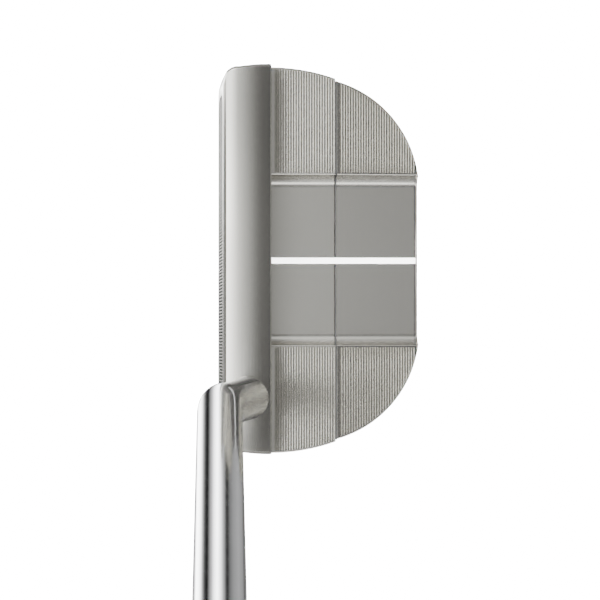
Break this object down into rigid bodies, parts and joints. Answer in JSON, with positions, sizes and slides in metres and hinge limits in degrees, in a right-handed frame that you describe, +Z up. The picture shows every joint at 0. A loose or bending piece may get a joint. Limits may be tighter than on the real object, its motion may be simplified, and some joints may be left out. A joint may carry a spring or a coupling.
{
  "type": "golf putter",
  "caption": "Right-handed mid-mallet putter with a ribbed head split across by a seam, a white sight line, double-bend steel shaft and a flat-front grip.",
  "frame": {"origin": "centre of the flat sole, under the sight line, half way from leading edge to back edge", "axes": "+Z up from the ground, +X toward the heel (the golfer's side), +Y from the face toward the back of the head"},
  "size_m": [0.3675, 0.0693, 0.8156],
  "materials": {
    "head_metal": "satin, warm grey anodised, finely brushed",
    "plate_steel": "milled satin",
    "steel": "turned satin",
    "shaft_steel": "polished chrome-plated steel",
    "tungsten": "dark turned satin",
    "black_steel": "black oxide",
    "gasket": "matte dark polymer",
    "enamel": "white enamel",
    "epoxy": "clear amber epoxy",
    "tape": "paper-backed double-sided tape",
    "foam": "soft closed-cell foam",
    "grip": "matte moulded polyurethane",
    "grip_cap": "satin moulded plastic"
  },
  "bodies": {
    "root": {"front_body": "head_metal", "rear_body": "head_metal", "joint_gasket": "gasket", "face_insert": "plate_steel", "insert_tape": "gasket", "sight_line": "enamel", "hosel_post": "steel", "shaft_bond": "epoxy", "toe_weight": "tungsten", "heel_weight": "tungsten", "weight_washers": "gasket", "body_screws": "black_steel", "joint_dowels": "steel", "sole_plate": "plate_steel", "sole_pad": "gasket", "plate_screws": "steel", "shaft": "shaft_steel", "grip_tape": "tape", "grip_core": "foam", "grip_skin": "grip", "grip_cap": "grip_cap", "butt_plug": "gasket"}
  },
  "joints": []
}
